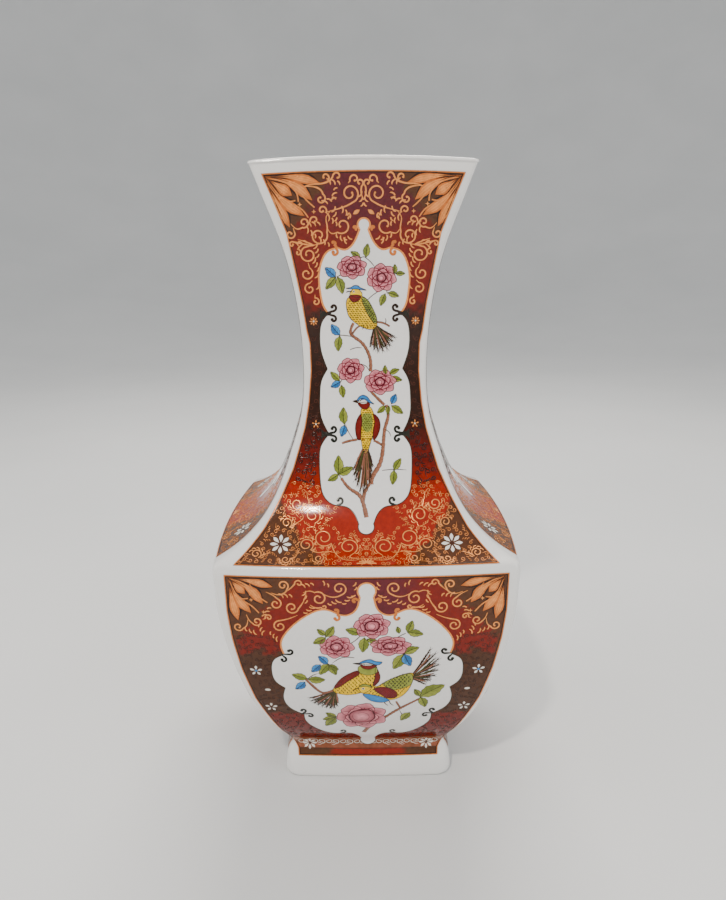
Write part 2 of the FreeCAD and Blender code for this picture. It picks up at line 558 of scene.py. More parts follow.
def reserve_area(panel, cell):
    """The white reserve, cut into small cells so that it follows the wall."""
    outline = GROUNDS[panel][1]
    low, high = outline.min(axis=0), outline.max(axis=0)
    xs = np.arange(low[0] + cell / 2, high[0], cell)
    ys = np.arange(low[1] + cell / 2, high[1], cell)
    grid = np.array([(x, y) for x in xs for y in ys])
    near = np.array([np.min(np.hypot(*(outline - p).T)) for p in grid])
    grid = grid[inside(grid, outline) & (near > cell * 0.45)]
    spots = [Vector(p) for p in outline] + [Vector(p) for p in grid]
    n = len(outline)
    edges = [(i, (i + 1) % n) for i in range(n)]
    points, _, faces, *_ = delaunay_2d_cdt(spots, edges, [list(range(n))], 1, 1e-5)
    points = np.array([tuple(p) for p in points])
    ink(panel, "reserve").add(points, RESERVE_LIFT, tint("reserve", 0.6), [tuple(f) for f in faces])


def twin_stroke(panel, pigment, path, *look):
    """A line on the left half and its mirror image."""
    for flip in HALVES:
        stroke(panel, pigment, path * flip, *look)


def twin_blob(panel, pigment, outline, *look, middle=None):
    """A filled form on the left half and its mirror image."""
    for flip in HALVES:
        blob(panel, pigment, outline * flip, *look, middle=None if middle is None else middle * flip)


def scroll(panel, pigment, lead, x, y, r, start, sweep, width=0.8, tone=0.85, lift=VINE_LIFT):
    """A vine that arrives along lead and winds up into a spiral with a round end, on both halves."""
    spiral = swirl(x, y, r, start, sweep)
    path = spiral
    if lead:
        path = np.concatenate([bend(list(lead) + [tuple(spiral[0])])[:-1], spiral])

    for flip in HALVES:
        stroke(panel, pigment, path * flip, width, lift, (0.35, 0.8), tone)
        if width >= 0.45:
            bead = spiral[-1] + disc(9) * width * 0.72
            blob(panel, pigment, bead * flip, lift + 0.01, tone, tone * 0.8, 0.08)


def on_ground(panel, path):
    """Whether a line stays on the printed ground, clear of its border and of the reserve."""
    widths, reserve = GROUNDS[panel]
    path = np.asarray(path, float)
    within = np.all(np.abs(path[:, 0]) < lookup(widths, path[:, 1]) - MARGIN)
    below = path[:, 1].max() < widths[-1][0] - MARGIN
    return bool(within) and below and not inside(path, reserve).any()


def comma(panel, pigment, x, y, angle, length, hook, width, tone):
    """A short curved leaf stroke, thick at its tip, on both halves."""
    a = np.radians(angle + hook * np.linspace(0, 1, 8))
    run = np.stack([np.cos(a), np.sin(a)], axis=1) * length / 7
    path = np.array([x, y]) + np.cumsum(run, axis=0)
    if on_ground(panel, path):
        twin_stroke(panel, pigment, path, width, TAIL_LIFT, (0.2, 0.9), tone)


def comb(panel, pigment, x, y, angle, size=3.9, count=3, tone=0.9, width=0.7):
    """A row of crescents that spring from a vine and bend the same way, each shorter than the last."""
    side = np.radians(angle - 90)
    for k in range(count):
        shift = (k - (count - 1) / 2) * size * 0.6
        length = size * (1.0 - 0.18 * k)
        place = (x + math.cos(side) * shift, y + math.sin(side) * shift)
        comma(panel, pigment, *place, angle - 20, length, 90, width, tone)


def leaf_outline(base, tip, fat, widest=1, bow=0, taper=1):
    """Leaf outline and spine. A larger widest moves its belly to the tip; taper thins its ends."""
    base, tip = np.array(base, float), np.array(tip, float)
    along = tip - base
    length = np.linalg.norm(along)
    across = np.array([-along[1], along[0]]) / length
    t = np.linspace(0, 1, 10)
    half = fat * length / 2 * np.sin(math.pi * t ** widest) ** taper
    spine = base + along * t[:, None] + across * (bow * length * np.sin(math.pi * t))[:, None]
    left = spine + across * half[:, None]
    right = spine - across * half[:, None]
    return np.concatenate([left, right[-2:0:-1]]), spine


def leaf(panel, pigment, base, tip, fat, lift, line):
    """A painted leaf with outline, midrib and side veins."""
    bow = rng.uniform(-0.06, 0.06)
    outline, spine = leaf_outline(base, tip, fat, 0.85, bow)
    teeth = 1.0 + 0.05 * np.cos(math.pi * np.arange(len(outline)))
    middle = outline.mean(axis=0)
    outline = middle + (outline - middle) * teeth[:, None]
    lift += 0.02 * rng.random()
    blob(panel, pigment, outline, lift, rng.uniform(0.55, 0.8), 0.95, 0, spine[5])
    shade = np.concatenate([spine, outline[1:9][::-1]])
    blob(panel, pigment, shade, lift + 0.008, 0.3, 0.5)
    loop_line(panel, line, outline, 0.28, lift + 0.02, 0.5)
    stroke(panel, line, spine, 0.38, lift + 0.02, (0.8, 0.3), 0.2, 0.01)
    for k in (3, 5, 7):
        for edge in (outline[k + 1], outline[len(outline) - k - 1]):
            vein = np.array([spine[k - 1], (spine[k] + edge) / 2, spine[k] * 0.25 + edge * 0.75])
            stroke(panel, line, vein, 0.16, lift + 0.02, (0.6, 0.4), 0.8, 0.005)


def petal(x, y, a, out, back, half, wave):
    """Outline of a rose petal that points along a, with a gently notched rim."""
    step = np.linspace(0, 2 * math.pi, 17, endpoint=False)
    along = np.where(np.cos(step) > 0, out, back) * np.cos(step) * (1.0 + 0.09 * np.cos(4 * step + wave))
    aside = half * np.sin(step)
    right = along * math.cos(a) - aside * math.sin(a)
    up = along * math.sin(a) + aside * math.cos(a)
    return np.stack([x + right, y + up], axis=1)


def rose(panel, x, y, wide, tall, turn, cup=0.3):
    """An open rose: a ring of broad petals, a tighter ring, and a cup with a pale heart."""
    rings = ((7, 0.52, 0.50, 0.5, 0.43, 0, 1, 0.42), (5, 0.30, 0.36, 0.3, 0.36, 0, 0.95, 0.5))
    for ring_no, (count, sit, out, back, half, dark, light, line) in enumerate(rings):
        for k in range(count):
            a = turn + 2 * math.pi * (k + 0.4 * ring_no) / count
            unit = petal(sit * math.cos(a), sit * math.sin(a), a, out, back, half, 1.3 * k)
            outline = unit * (wide, tall) + (x, y)
            root = np.array([math.cos(a), math.sin(a)]) * sit * 0.85 * (wide, tall) + (x, y)
            lift = ROSE_LIFT + 0.03 * ring_no + 0.003 * k
            blob(panel, "pink", outline, lift, dark, light, 0, root)
            loop_line(panel, "crimson", outline, line, lift + 0.006, 0.55)
            for side in (-0.22, 0, 0.22):
                fold = [(x + wide * f * math.cos(a + side), y + tall * f * math.sin(a + side))
                        for f in (sit * 0.7, sit * 1.05, sit * 1.4 - abs(side) * 0.3)]
                stroke(panel, "pink", bend(fold, 5), 0.6, lift + 0.009, (1, 0.1), 0, 0.005)
    bowl = petal(0, 0, turn + 0.6, cup * 1.1, cup, cup, 0.7) * (wide, tall) + (x, y)
    bowl_lift = ROSE_LIFT + 0.086
    blob(panel, "pink", bowl, bowl_lift, 1.3, 0.15)
    loop_line(panel, "crimson", bowl, 0.8, bowl_lift + 0.006, 0.2)
    for k in range(2):
        heart = swirl(x, y, min(wide, tall) * (cup - 0.07 - 0.08 * k), 150 + 150 * k, 190, 0.8)
        stroke(panel, "crimson", heart, 0.3, bowl_lift + 0.01, (0.4, 0.4), 0.7, 0.01)


def blossom(panel, x, y, r, petals, heart, width=0.42, pigment="white"):
    """A small white flower with a coloured heart, on both halves."""
    for k in range(petals):
        a = math.radians(90 + 360.0 / petals * k)
        base = (x + 0.2 * r * math.cos(a), y + 0.2 * r * math.sin(a))
        outline, _ = leaf_outline(base, (x + r * math.cos(a), y + r * math.sin(a)), width, 1.35)
        twin_blob(panel, pigment, outline, LEAF_LIFT, 0.75, 0.95, 0.05)
    dot = disc(12) * 0.2 * r + (x, y)
    twin_blob(panel, heart, dot, BIRD_LIFT, 0.4, 0.9, 0.03)


def limb(panel, points, thick, thin):
    """A branch: broad bark with a dark edge and a few notches."""
    path = bend(points)
    n = len(path)
    side = sideways(path)
    wobble = np.array([rng.uniform(0.82, 1.18) for _ in range(n)])
    wide = np.linspace(thick, thin, n) / 2 * wobble
    left, right = path + side * wide[:, None], path - side * wide[:, None]
    faces = [(i, n + i, n + i + 1, i + 1) for i in range(n - 1)]
    tones = np.concatenate([np.full(n, 0.95), np.full(n, 0.35)])
    ink(panel, "bark").add(np.concatenate([left, right]), LIMB_LIFT, tint("bark", tones), faces)
    for edge in (left, right):
        stroke(panel, "sepia", edge, 0.22, LIMB_LIFT + 0.01, (0.7, 0.7), 0.8, 0.01)
    for i in range(2, n - 2, 4):
        notch = np.array([left[i], path[i + 1], right[i + 2]])
        stroke(panel, "sepia", notch, 0.16, LIMB_LIFT + 0.01, (0.5, 0.2), 0.9, 0.005)


def twig(panel, points, width):
    stroke(panel, "sepia", bend(points), width, LIMB_LIFT + 0.005, (0.9, 0.4), 0.9, 0.02)


def patch(panel, pigment, outline, lift, inner, outer, edged):
    """One coloured part of a bird with a fine dark outline."""
    loop = closed(outline)
    blob(panel, pigment, loop, lift, inner, outer)
    if edged:
        loop_line(panel, "sepia", loop, 0.32, lift + 0.012, 0.5)


def plumage(panel, pigment, outline, lift, spacing, angle, tone):
    """Rows of small curved feather marks inside an outline."""
    spacing *= 1.35
    loop = closed(outline)
    loop = loop.mean(axis=0) + (loop - loop.mean(axis=0)) * 0.92
    low, high = loop.min(axis=0), loop.max(axis=0)
    a = math.radians(angle)
    row = 0
    y = low[1]
    while y < high[1]:
        x = low[0] + (spacing / 2 if row % 2 else 0)
        while x < high[0]:
            spot = np.array([[x + rng.uniform(-0.2, 0.2), y + rng.uniform(-0.15, 0.15)]])
            if inside(spot, loop)[0]:
                turn = a + np.linspace(-0.9, 0.9, 5)
                mark = np.stack([np.cos(turn), np.sin(turn)], axis=1) * spacing * 0.42 + spot
                stroke(panel, pigment, mark, 0.48, lift, (0.4, 0.4), tone, 0.01)
            x += spacing
        y += spacing * 0.72
        row += 1


def fan_tail(panel, root, tips):
    """A spread tail: long quills with fine barbs that open towards their tips."""
    root = np.array(root, float)
    ends = smooth_path(tips, len(tips) * 3)
    for k, end in enumerate(ends):
        length = np.linalg.norm(end - root)
        run = (end - root) / length
        across = np.array([-run[1], run[0]])
        end = end - run * length * 0.12 * (k % 2)
        bow = across * length * rng.uniform(-0.04, 0.04)
        quill = bend([tuple(root), tuple((root + end) / 2 + bow), tuple(end)], 10)
        pigment = ("sepia", "bark", "sepia", "sap")[k % 4]
        stroke(panel, pigment, quill, 0.95, TAIL_LIFT + 0.004 * (k % 4), (1, 0.35), 0.6, 0.02)
        for b in range(6):
            spot = quill[4 + b * 5 // 6] + run * rng.uniform(-0.4, 0.4)
            for side in (-1, 1):
                tip = spot + run * length * 0.18 + across * side * rng.uniform(0.5, 1)
                barb = np.array([spot, (spot + tip) / 2, tip])
                stroke(panel, "sepia", barb, 0.26, TAIL_LIFT - 0.005, (0.8, 0.3), 0.5, 0.005)


def bird(panel, tail_root, tail_tips, parts):
    """A bird: its tail, then its coloured parts, each with its own feather marks."""
    fan_tail(panel, tail_root, tail_tips)
    for pigment, lift, inner, outer, edged, outline, *feathers in parts:
        patch(panel, pigment, outline, lift, inner, outer, edged)
        for mark_pigment, mark_lift, spacing, angle, tone in feathers:
            plumage(panel, mark_pigment, outline, mark_lift, spacing, angle, tone)


def eye(panel, x, y, r=0.45):
    spot = disc(9)
    blob(panel, "white", spot * r * 1.5 + (x, y), EYE_LIFT, 0.9, 0.9)
    blob(panel, "sepia", spot * r + (x, y), EYE_LIFT + 0.01, 0, 0.1)


# ------------------------------------------------------------------ the two panels
# Half width of each printed panel by distance up the wall.
NECK_WIDTH = [
    (0.7, 69.5), (24, 55.4), (42.4, 46.6), (57.5, 40.2), (68.6, 37), (80, 33.8), (94, 31.4),
    (111.5, 29.8), (126.5, 30.05), (133.7, 31.6), (148, 33.4), (165, 36.4), (185, 39.8),
    (201, 45.4), (213.9, 50.2),
]
BELLY_WIDTH = [
    (-143, 42), (-138.4, 42.2), (-130, 46.9), (-107, 55.8), (-87, 63.4), (-63, 69.3),
    (-43, 72.6), (-25.6, 74.2), (-4.4, 74.5),
]

# Left half of the white reserve that holds each picture. Each row is one smooth lobe.
NECK_LOBES = [
    [(-2.1, 186.3), (-3.3, 183.2), (-5.6, 178.9), (-9.8, 175.9), (-13.4, 176.8)],
    [(-13.4, 176.8), (-18.5, 175.3), (-22.3, 169.5), (-23.8, 161.7), (-23.3, 154), (-21.6, 146.3),
     (-19.6, 143)],
    [(-19.6, 142.4), (-22.6, 138.8), (-24.2, 132.4), (-23.7, 122), (-20.6, 112.5)],
    [(-20.6, 112.5), (-24, 106), (-25, 97.9), (-24.6, 86.5), (-20.4, 76.9)],
    [(-20.4, 76.2), (-24.6, 70), (-25.5, 62), (-25, 50.5), (-22.6, 42), (-17.1, 37.9),
     (-10.4, 36.7), (-6.6, 33.4), (-4.1, 27.6)],
]
BELLY_LOBES = [
    [(-3.5, -15.6), (-4.1, -18.6), (-5.5, -22.8), (-8.3, -25.6), (-11.5, -26.6), (-14.8, -26)],
    [(-14.8, -26), (-21.4, -23.2), (-32.6, -27.4), (-41.7, -36), (-46.2, -45.6), (-44.9, -52)],
    [(-45.4, -52.8), (-50.4, -56), (-52.4, -63.6), (-50.2, -73.1), (-45.7, -77.2)],
    [(-45.7, -77.2), (-47.2, -85.3), (-43.9, -94.4), (-37.5, -99.4)],
    [(-36.4, -100.2), (-36.2, -104.6), (-29.2, -115.7), (-18.4, -121.4), (-9.6, -121.3),
     (-5.9, -124.6), (-3.9, -128.2)],
]


def arc(x, y, r, start, end):
    a = np.radians(np.linspace(start, end, 14))
    return np.stack([x + r * np.cos(a), y + r * np.sin(a)], axis=1)


def reserve_outline(lobes, top_knob, bottom_knob):
    """The whole outline of a reserve, from its left half."""
    left = np.concatenate([top_knob] + [bend(row)[:-1] for row in lobes] + [bottom_knob])
    right = left[::-1] * np.array([-1, 1])
    return np.concatenate([left, right[1:-1]])


NECK_TOP_KNOB = arc(0, 188.4, 3.1, 90, 222)
NECK_LOW_KNOB = arc(0, 25.7, 4.3, 154, 270)
BELLY_TOP_KNOB = arc(0, -12.4, 4.7, 90, 220)
BELLY_LOW_KNOB = arc(0, -131, 4.6, 160, 270)
NECK_RESERVE = reserve_outline(NECK_LOBES, NECK_TOP_KNOB, NECK_LOW_KNOB)
BELLY_RESERVE = reserve_outline(BELLY_LOBES, BELLY_TOP_KNOB, BELLY_LOW_KNOB)

GROUNDS = {"neck": (NECK_WIDTH, NECK_RESERVE), "belly": (BELLY_WIDTH, BELLY_RESERVE)}

RED = np.array((0.31, 0.013, 0.001))
DEEP_RED = np.array((0.12, 0.006, 0.002))
PLUM = np.array((0.10, 0.009, 0.014))
BROWN = np.array((0.085, 0.027, 0.008))
DARK_BROWN = np.array((0.028, 0.009, 0.004))
BAND = np.array((0.30, 0.085, 0.04))

# Top of the neck panel, and top, middle and bottom of the pale strip above the foot.
NECK_TOP = 213.9
STRIP_TOP = -128.0
STRIP_MIDDLE = -133.0
STRIP_LOW = -138.0


def waver(x, y, size, seed):
    """Smooth pseudo-random ripple between -1 and 1."""
    u, v = x / size, y / size
    a = np.sin(1.7 * u + seed) * np.cos(1.3 * v - seed)
    b = np.sin(2.9 * v + 1.9 * u + 2.0 * seed)
    c = np.cos(4.1 * u - 3.3 * v + 3.0 * seed)
    return (a + 0.7 * b + 0.5 * c) / 2.2


def blend(low, high, share):
    share = np.clip(share, 0, 1)[:, None]
    return low * (1.0 - share) + high * share


# Inner edge of the brown lower corners of the neck panel: half width by distance up the wall.
LOW_CORNER = [(3.3, 21.8), (13, 27.9), (18.3, 35), (26.7, 37.3), (30.3, 43), (45.3, 46.9), (60, 60)]


def neck_ground_colour(p):
    """Plum, red-brown, dark brown, deep red, then bright red with brown lower corners."""
    x, y = np.abs(p[:, 0]), p[:, 1]
    ripple = waver(x, y, 2.6, 1)
    colour = blend(RED, DEEP_RED, (y - 46 + 4 * ripple) / 16)
    colour = blend(colour, DARK_BROWN, (y - 68 + 4 * ripple) / 16)
    colour = blend(colour, 0.75 * DEEP_RED + 0.25 * RED, (y - 140 + 5 * ripple) / 10)
    colour = blend(colour, PLUM, (y - 178 - x * 0.3 + 4 * ripple) / 14)
    corner = (x + (y - NECK_TOP) * 0.75 - 13.5 + 3 * ripple) / 2
    colour = blend(colour, BROWN, corner * (y > 178))
    low = (x - lookup(LOW_CORNER, y) + 1.5 * ripple) / 1.2
    return blend(colour, BROWN, low * (y < LOW_CORNER[-1][0]))


def belly_ground_colour(p):
    """Red and plum along the top, brown corners, red and brown sides, red below, and three foot strips."""
    x, y = np.abs(p[:, 0]), p[:, 1]
    ripple = waver(x, y, 2.8, 2.3)
    colour = blend(PLUM * 1.15, RED * 0.6, (x - 16 + 4 * ripple) / 16)
    corner = np.maximum(x - 36 + (y + 6) * 0.9 + 4 * ripple, x - 69 + 2 * ripple)
    colour = blend(colour, BROWN, corner / 1.5)
    blotch = waver(x, y, 4, 5.1)
    below = np.clip((-y - 50 + 6 * blotch) / 3, 0, 1)
    above = np.clip((101 + y + 2 * ripple) / 2, 0, 1)
    colour = blend(colour, BROWN * 0.8, below * above)
    colour = blend(colour, RED * 0.48, (-y - 101 - 2 * ripple) / 2)
    strip = blend(BAND, BROWN * 1.6, 0.3 + 0.5 * ripple)
    colour = np.where((y < STRIP_TOP)[:, None], strip, colour)
    foot = blend(RED * 0.8, BROWN, (x - 19 + 4 * ripple) / 6)
    return np.where((y < STRIP_LOW)[:, None], foot, colour)


def ground(panel, colour_of):
    """The printed ground of a panel as a fine grid."""
    widths = GROUNDS[panel][0]
    low, high = widths[0][0], widths[-1][0]
    ups = np.linspace(low, high, int((high - low) / ROW_STEP) + 1)
    shares = np.linspace(-1, 1, GROUND_COLUMNS)
    x = np.outer(lookup(widths, ups), shares).ravel()
    y = np.repeat(ups, len(shares))
    points = np.stack([x, y], axis=1)
    n = len(shares)
    faces = [
        (r * n + i, r * n + i + 1, (r + 1) * n + i + 1, (r + 1) * n + i)
        for r in range(len(ups) - 1) for i in range(n - 1)
    ]
    ink(panel, "ground").add(points, GROUND_LIFT, colour_of(points), faces)


def frame_lines(panel):
    """Gold line round a panel, with a fine dark line just inside it."""
    widths = GROUNDS[panel][0]
    low, high = widths[0][0], widths[-1][0]
    for inset, width, pigment, tone in ((0.3, 0.6, "gold", 0.35), (1, 0.5, "umber", 0.2)):
        ups = np.linspace(low + inset, high - inset, 160)
        edge = np.stack([-(lookup(widths, ups) - inset), ups], axis=1)
        twin_stroke(panel, pigment, edge, width, EDGE_LIFT, FULL, tone, 0.03)
        for up in (low + inset, high - inset):
            reach = float(lookup(widths, up)) - inset
            bar = np.stack([np.linspace(-reach, reach, 120), np.full(120, up)], axis=1)
            stroke(panel, pigment, bar, width, EDGE_LIFT, FULL, tone, 0.03)


def corner_spray(panel, corner, leaves, halos, dots):
    """Fan of gilded club-shaped leaves that springs from a top corner, with fine lines round them."""
    widths = GROUNDS[panel][0]
    for tip, fat, bow in leaves:
        outline, spine = leaf_outline(corner, tip, fat, 2.1, bow, 1.3)
        rim = leaf_outline(corner, tip, fat + 0.08, 2.1, bow, 1.1)[0]
        for shape in (outline, rim):
            shape[:, 0] = np.maximum(shape[:, 0], 1.2 - lookup(widths, shape[:, 1]))
        twin_blob(panel, "umber", rim, THIN_LIFT, 0.1, 0.1, middle=spine[6])
        # Each gold leaf is painted lightest near its middle and darker towards its edge: a painted highlight
        # on the gilding.
        twin_blob(panel, "gold", outline, SPRAY_LIFT, 1, 0.1, 0.05, middle=spine[6])
        for side in (0.5, 0, -0.5):
            line = spine[3:9] + (outline[3:9] - spine[3:9]) * side
            twin_stroke(panel, "gold", line, 0.34, SPRAY_TOP, (0.3, 0.3), 1, 0.01)
        twin_stroke(panel, "umber", spine[1:6], 0.3, SPRAY_TOP, (0.6, 0.2), 0.6, 0.01)
    for path in halos:
        twin_stroke(panel, "gold", bend(path), 0.7, 0.245, (0.3, 0.9), 0.6)
    for x, y in dots:
        star = disc(8) * np.array([1.2, 0.45] * 4)[:, None] + (x, y)
        twin_blob(panel, "gold", star, TAIL_LIFT, 1, 0.8, 0.06)


def filigree(panel, pigment, low, high, spacing, size, width, tone, keep_off=()):
    """Fills part of a ground with small seeded scrolls and commas."""
    widths, outline = GROUNDS[panel]
    draws = np.array([(rng.random(), rng.uniform(low, high)) for _ in range(SCATTER_TRIES)])
    draws[:, 0] *= size * 0.7 - lookup(widths, draws[:, 1])
    gap = np.min(np.linalg.norm(draws[:, None] - outline[None], axis=2), axis=1)
    placed = []
    for spot in draws[(gap > size * 0.7) & ~inside(draws, outline)]:
        clear = all(math.dist(spot, other) > spacing for other in placed)
        if clear and all(math.dist(spot, other[:2]) > other[2] + size * 0.45 for other in keep_off):
            placed.append(spot)
    for x, y in placed:
        start = rng.uniform(0, 360)
        way = rng.choice((-1, 1))
        if rng.random() < 0.7:
            r = size * rng.uniform(0.4, 0.55)
            lead = [(x + 2.1 * r * math.cos(math.radians(start - 40 * way)),
                     y + 2.1 * r * math.sin(math.radians(start - 40 * way)))]
            if on_ground(panel, lead):
                scroll(panel, pigment, lead, x, y, r, start, way * 400, width, tone, EDGE_LIFT)
        else:
            comb(panel, pigment, x, y, start, size * 0.9, 3, tone, width)


# Vines of the upper neck: way in, centre, radius, start angle and sweep.
NECK_SCROLLS = [
    ([(-19.5, 194.5), (-12.6, 196.2), (-7, 198.2)], -6.8, 203.2, 4.3, -50, 430),
    ([(-16.5, 195.4), (-19, 192), (-18.6, 187.5)], -23.1, 183.1, 4.5, 20, -440),
    ([(-18.7, 187), (-16.6, 184.2)], -11, 188, 4.1, -125, 330),
    ([(-21.5, 179.2), (-26, 178.4)], -28.8, 173.7, 4.2, 120, 430),
    ([(-29.2, 169.4)], -30.1, 163.8, 3.4, 60, -400),
    ([(-27.3, 160.2)], -28.8, 155.9, 2.9, 90, 380),
    ([(-26.2, 152.8)], -25.9, 149, 2.1, 100, -330),
    ([(-29.5, 207), (-25, 207.9), (-20, 208.2)], -18.9, 210.9, 2.3, -70, 260),
    ([(-19.5, 208), (-16.2, 209.6)], -12.9, 211.1, 2.2, 180, -250),
    ([(-7.6, 208)], -4.4, 209.8, 2.4, 200, -280),
    ([(-29, 207), (-24, 206.6), (-20.6, 204.4)], -21.4, 201, 2.5, 60, -320),
    ([(-37, 189.4), (-33.8, 186.7)], -30.4, 189.8, 2.6, -110, 380),
    ([(-28.2, 188.4)], -25, 190.8, 2.2, 190, -260),
    ([(-36, 187.2)], -37.6, 184.2, 2.4, 10, -340),
    ([(-34, 181.5), (-30, 180.2), (-26.5, 178.6)], -37, 179, 1.5, 60, 300),
    ([(-17.8, 193.4)], -20.8, 195.6, 2.2, -30, 340),
    ([(0, 200.2), (-1.2, 204)], -1.9, 208.2, 1.9, -60, 300),
    ([(-30.6, 179.4), (-33.4, 177.6)], -34.2, 174.8, 1.7, 90, -300),
]
NECK_COMBS = [
    (-12.6, 203.4, 175), (-15.8, 199, 120), (-16.2, 192.4, 20), (-24.6, 187.4, 100), (-31.6, 178.2, 110),
    (-26, 174.4, 20), (-26.4, 167, 30), (-11.4, 183.6, 250), (-8.2, 183.4, 290), (-2.8, 199.4, 20),
    (-20.6, 178, 70), (-25.9, 159.4, 20), (-27.4, 182.8, 60), (-9.4, 192.4, 60), (-14.2, 206.8, 90),
    (-25, 153.4, 30), (-16.4, 188.6, 60),
]
BELLY_SCROLLS = [
    ([(-50, -13.8), (-45.4, -14.8), (-42, -12.8)], -43.4, -9.4, 2.8, -40, 410),
    ([(-42, -13), (-39.4, -10.8)], -35.2, -8.1, 2.1, 190, -340),
    ([(-24, -13), (-19, -15.6), (-15, -15.4)], -14.2, -10.9, 3.7, -70, 430),
    ([(-33, -13.4), (-29.2, -12.4)], -25.1, -16.6, 3.9, 120, -430),
    ([(-31.5, -14), (-33.6, -19.5)], -39.3, -22.1, 3.5, -10, -440),
    ([(-52.6, -13.4), (-48.4, -15.6)], -47.7, -20.1, 3.1, 70, -400),
    ([(-36.4, -26.6), (-41.2, -28.8)], -46.1, -33.6, 3.4, 100, 430),
    ([(-63.6, -27), (-61.4, -31.6)], -58.2, -31, 2.7, -150, 400),
    ([(-55, -29.6)], -51.8, -28.4, 1.9, 200, -380),
    ([(-63, -30), (-64.8, -35)], -68.4, -34.8, 2.7, -20, -380),
    ([(-29.6, -20.4), (-27, -22)], -22.4, -21.4, 1.5, -160, 300),
]
BELLY_COMBS = [
    (-7.8, -9.4, 20), (-7.6, -12.6, 340), (-22.4, -9.6, 70), (-32, -22.6, 320), (-41.4, -17, 100),
    (-37, -28.2, 320), (-54.8, -34.6, 210), (-29.6, -10.4, 110), (-18.4, -17.6, 300), (-12, -17, 330),
    (-62.2, -35.4, 260), (-33.6, -17.2, 20), (-48.8, -38.4, 230), (-50.6, -25.2, 160), (-42, -36.8, 330),
]
SHOULDER_SCROLLS = [
    ([(0, 6.6), (-4, 6.2), (-8.6, 8)], -9.4, 14, 5, -60, 430),
    ([(-4, 5.6), (-11.5, 5.8), (-16, 9.6)], -22.6, 19.4, 5.2, -40, -430),
    ([(-15.6, 9.8), (-20, 11), (-26, 10.4)], -31.9, 15, 3.9, -50, 420),
    ([(-18, 11.4), (-21.6, 10.2)], -24.8, 6.6, 2.6, 60, -380),
    ([(-33.6, 28), (-28, 26)], -29, 32, 4.4, -70, 400),
    ([(-32.7, 45), (-31.6, 36)], -37.6, 38, 3.4, 10, -390),
    ([(-36, 11), (-38, 6.6)], -42.2, 5.4, 2.4, 20, -360),
    ([(-50, 9.6), (-54, 8.2)], -58.2, 8.6, 2.9, -60, 400),
    ([(-34, 30), (-40, 26)], -43, 27.6, 2.9, -60, 390),
]


def curls(panel, hooks):
    """Small hooks at the cusps of a reserve: pigment, root, centre, radius, start, sweep."""
    for pigment, root, x, y, r, start, sweep in hooks:
        scroll(panel, pigment, [root], x, y, r * 1.06, start, sweep, 1.3, 0.3, LEAF_LIFT)


def reserve_lines(panel, lobes, top_knob, low_knob):
    """Outline of a reserve: bright gold above, and below a finer line of the same gold painted near-black, a
    painted dark reflection.
    """
    rows = [top_knob] + [bend(row) for row in lobes] + [low_knob]
    for k, row in enumerate(rows):
        pigment, width = ("gold", 0.95) if k <= 2 else ("bronze", 0.5)
        twin_stroke(panel, pigment, row, width, LINE_LIFT, FULL, 0.8, 0.04)


def panel_base(panel, colour_of, cell, lobes, top_knob, low_knob):
    """Ground, white reserve and the lines round both."""
    ground(panel, colour_of)
    reserve_area(panel, cell)
    frame_lines(panel)
    reserve_lines(panel, lobes, top_knob, low_knob)


def vines(panel, scrolls, combs):
    """The large gold scrolls of a panel with the crescents that spring from them."""
    for row in scrolls:
        scroll(panel, "gold", *row)
    for row in combs:
        comb(panel, "gold", *row)


